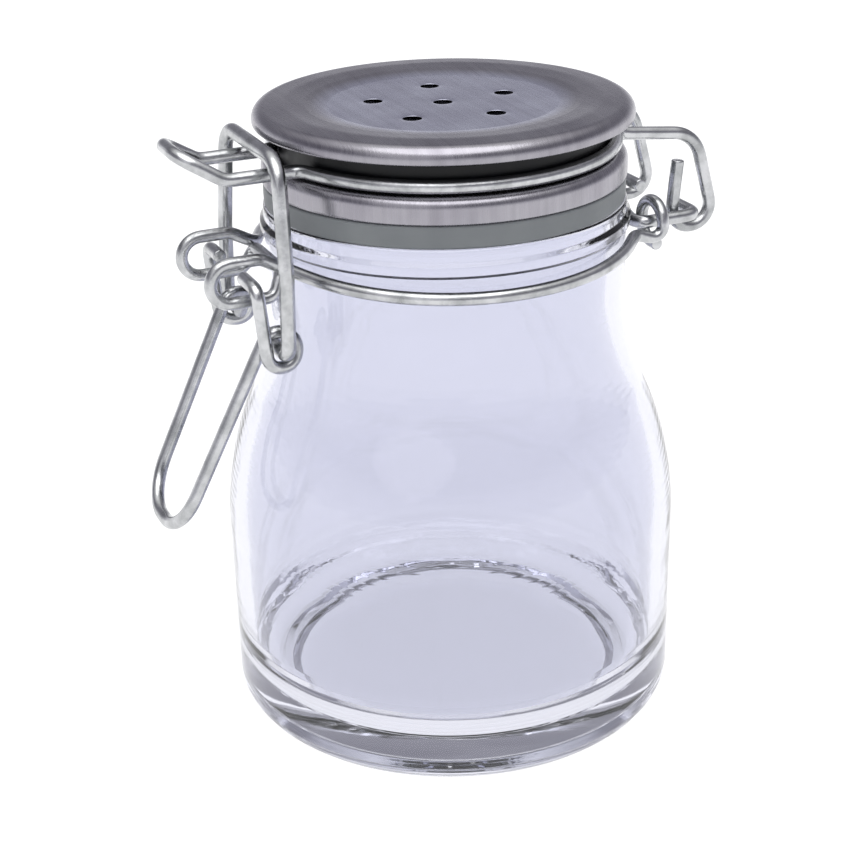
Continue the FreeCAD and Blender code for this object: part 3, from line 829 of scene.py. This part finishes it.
stageSet = {"floorHalf": 6.0, "floor": "#6E6E70", "glow": 1.0, "drop": 0.0003, "horizon": "#E2E2E8",
            "wall": "#8B8A93", "ceiling": "#FFFFFF", "skyStrength": 1.0,
            "sun": 1.3, "sunAngle": 60.0, "fill": 0.3, "fillAngle": 50.0}


def makeStage():
    half = stageSet["floorHalf"]
    mesh = bpy.data.meshes.new("floor")
    # a hair under the foot, so that glass and table never share one plane
    low = -stageSet["drop"]
    mesh.from_pydata([(-half, -half, low), (half, -half, low), (half, half, low),
                      (-half, half, low)], [], [(0, 1, 2, 3)])
    floor = bpy.data.objects.new("floor", mesh)
    bpy.context.scene.collection.objects.link(floor)
    # opal acrylic light table: pale and even, lit a little from below so no shadow is hard
    material, tree, shader = newMaterial("opalAcrylicTable")
    shader.inputs["Base Color"].default_value = hexLinear(stageSet["floor"])
    shader.inputs["Roughness"].default_value = 0.75
    shader.inputs["Specular IOR Level"].default_value = 0.2
    shader.inputs["Emission Color"].default_value = hexLinear("#FFFFFF")
    shader.inputs["Emission Strength"].default_value = stageSet["glow"]
    mesh.materials.append(material)
    world = bpy.data.worlds.new("studio")
    world.use_nodes = True
    # a white sweep at the horizon, grey walls above it, then a white ceiling
    tree = world.node_tree
    back = tree.nodes["Background"]
    up = addNode(tree, "ShaderNodeTexCoord").outputs["Generated"]
    split = addNode(tree, "ShaderNodeSeparateXYZ", links={"Vector": up})
    sky = addNode(tree, "ShaderNodeValToRGB", links={"Fac": split.outputs["Z"]},
                  stops=[(0.1, stageSet["horizon"]), (0.24, stageSet["wall"]),
                         (0.55, stageSet["wall"]), (0.86, stageSet["ceiling"])])
    tree.links.new(sky.outputs[0], back.inputs["Color"])
    back.inputs["Strength"].default_value = stageSet["skyStrength"]
    bpy.context.scene.world = world
    bpy.context.scene.view_settings.view_transform = "Standard"
    # light runs along inside the thick base by many total reflections, so paths are long
    bpy.context.scene.cycles.glossy_bounces = 12
    bpy.context.scene.cycles.transmission_bounces = 16
    bpy.context.scene.cycles.max_bounces = 20


def addSun(name, energy, angle, towards):
    # a wide sun is a softbox far away: it lights the floor evenly out to the horizon
    light = bpy.data.lights.new(name, "SUN")
    light.energy = energy
    light.angle = math.radians(angle)
    lamp = bpy.data.objects.new(name, light)
    lamp.rotation_euler = Vector(towards).to_track_quat("-Z", "Y").to_euler()
    bpy.context.scene.collection.objects.link(lamp)


view = {"azimuth": 66.0, "distance": 0.24787, "height": 0.15257, "pan": 0.01524,
        "pitch": 0.41767, "roll": -0.024525, "lens": 75.516}


def makeCamera():
    turn = Matrix.Rotation(math.radians(view["azimuth"]) + view["pan"], 3, "Z")
    right = turn @ Vector((1, 0, 0))
    forward = turn @ Vector((0, math.cos(view["pitch"]), -math.sin(view["pitch"])))
    up = turn @ Vector((0, math.sin(view["pitch"]), math.cos(view["pitch"])))
    c, s = math.cos(view["roll"]), math.sin(view["roll"])
    level, rise = c * right + s * up, -s * right + c * up
    a = math.radians(view["azimuth"])
    camera = bpy.data.cameras.new("camera")
    camera.lens = view["lens"]
    camera.sensor_width = 36.0
    camera.clip_start = 0.01
    holder = bpy.data.objects.new("camera", camera)
    matrix = Matrix((level, rise, -forward)).transposed().to_4x4()
    matrix.translation = (view["distance"] * math.sin(a), -view["distance"] * math.cos(a),
                          view["height"])
    holder.matrix_world = matrix
    bpy.context.scene.collection.objects.link(holder)
    bpy.context.scene.camera = holder


makeStage()
addSun("overhead", stageSet["sun"], stageSet["sunAngle"], (-0.25, 0.1, -1))
addSun("fill", stageSet["fill"], stageSet["fillAngle"], (-0.9, 0.9, -0.9))
makeCamera()
print("stage, light and camera made")
